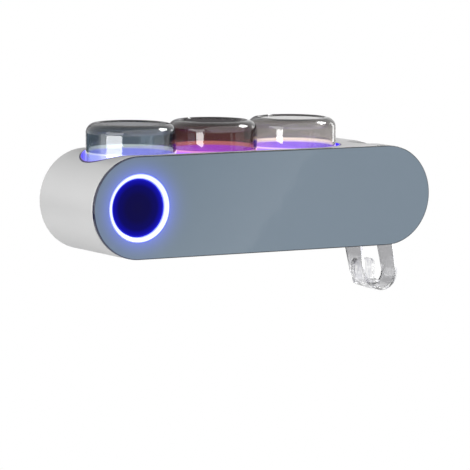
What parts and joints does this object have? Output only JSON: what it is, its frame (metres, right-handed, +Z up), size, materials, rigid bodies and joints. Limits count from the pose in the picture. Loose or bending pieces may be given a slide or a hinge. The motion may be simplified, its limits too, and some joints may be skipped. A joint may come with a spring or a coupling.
{
  "type": "toothpaste dispenser",
  "caption": "Wall-hung toothpaste dispenser with round-ended housing, flip-up front cover with a ring light, brush slots, a tray of inverted cups and a clear push lever.",
  "frame": {"origin": "centre of the wall bracket's back face, half way up the housing", "axes": "+X to the right along the housing, +Y into the wall, +Z up; the front faces -Y"},
  "size_m": [0.308, 0.089, 0.141],
  "materials": {
    "bracket_steel": "pressed and brushed",
    "shell_white": "moulded, satin gloss",
    "cover_white": "moulded, fine grain",
    "screw_steel": "zinc plated",
    "tray_white": "moulded, lit from inside",
    "window_clear": "clear quartz",
    "lamp_board": "lamp on a board",
    "rack_white": "moulded",
    "catch_steel": "bare steel",
    "liner_silver": "bright reflector",
    "lamp_violet": "lit lamp",
    "board_green": "circuit board",
    "chip_black": "moulded",
    "battery_foil": "foil pouch",
    "port_steel": "drawn shell",
    "pin_steel": "ground",
    "seal_grey": "soft silicone",
    "pump_white": "moulded",
    "nozzle_soft": "soft silicone",
    "panel_grey": "high gloss, mirror like",
    "carrier_dark": "moulded",
    "ring_glow": "milky diffuser, lit",
    "lens_blue": "dark blue, glossy",
    "magnet_nickel": "nickel plated",
    "cup_blue_grey": "tinted clear plastic",
    "cup_rose_brown": "tinted clear plastic",
    "cup_warm_grey": "tinted clear plastic",
    "lever_clear": "clear moulded plastic"
  },
  "bodies": {
    "wall_bracket": {"wall_bracket": "bracket_steel"},
    "housing": {"body_shell": "shell_white", "rear_cover": "cover_white", "rear_screws": "screw_steel", "cup_tray": "tray_white", "cup_windows": "window_clear", "cup_lamps": "lamp_board", "brush_rack": "rack_white", "catch_plates": "catch_steel", "chamber_liner": "liner_silver", "lamp_strip": "lamp_board", "brush_lamps": "lamp_violet", "divider_wall": "rack_white", "main_board": "board_green", "board_chips": "chip_black", "battery_pack": "battery_foil", "charging_port": "port_steel", "hinge_pins": "pin_steel", "tube_socket": "shell_white", "tube_seal": "seal_grey", "pump_body": "pump_white", "pump_nozzle": "nozzle_soft", "lever_pin": "pin_steel", "return_sleeve": "seal_grey"},
    "front_cover": {"front_panel": "panel_grey", "panel_carrier": "carrier_dark", "ring_light": "ring_glow", "ring_lens": "lens_blue", "ring_board": "board_green", "ring_cap": "carrier_dark", "cover_magnets": "magnet_nickel"},
    "cup_left": {"cup_left": "cup_blue_grey"},
    "cup_middle": {"cup_middle": "cup_rose_brown"},
    "cup_right": {"cup_right": "cup_warm_grey"},
    "push_lever": {"push_lever": "lever_clear"},
    "plunger": {"pump_plunger": "pump_white", "plunger_ring": "seal_grey"}
  },
  "joints": [
    {"name": "housing_lift", "type": "slide", "parent": "wall_bracket", "child": "housing", "axis": [0, 0, 1], "range_m": [0, 0.01]},
    {"name": "cover_swing", "type": "hinge", "parent": "housing", "child": "front_cover", "pos_m": [0, -0.084, 0.038], "axis": [-1, 0, 0], "range_deg": [0, 90]},
    {"name": "cup_left_lift", "type": "slide", "parent": "housing", "child": "cup_left", "axis": [0, 0, 1], "range_m": [0, 0.045]},
    {"name": "cup_middle_lift", "type": "slide", "parent": "housing", "child": "cup_middle", "axis": [0, 0, 1], "range_m": [0, 0.045]},
    {"name": "cup_right_lift", "type": "slide", "parent": "housing", "child": "cup_right", "axis": [0, 0, 1], "range_m": [0, 0.045]},
    {"name": "lever_push", "type": "hinge", "parent": "housing", "child": "push_lever", "pos_m": [0.1215, -0.044, -0.018], "axis": [1, 0, 0], "range_deg": [0, 12], "stiffness_Nm_per_rad": 0.4, "springref_deg": -1.72},
    {"name": "plunger_slide", "type": "slide", "parent": "housing", "child": "plunger", "axis": [0, -1, 0], "range_m": [0, 0.0034], "deforming": ["return_sleeve"]}
  ],
  "couplings": [
    {"joint": "plunger_slide", "follows": "lever_push", "m_per_rad": 0.01546}
  ]
}
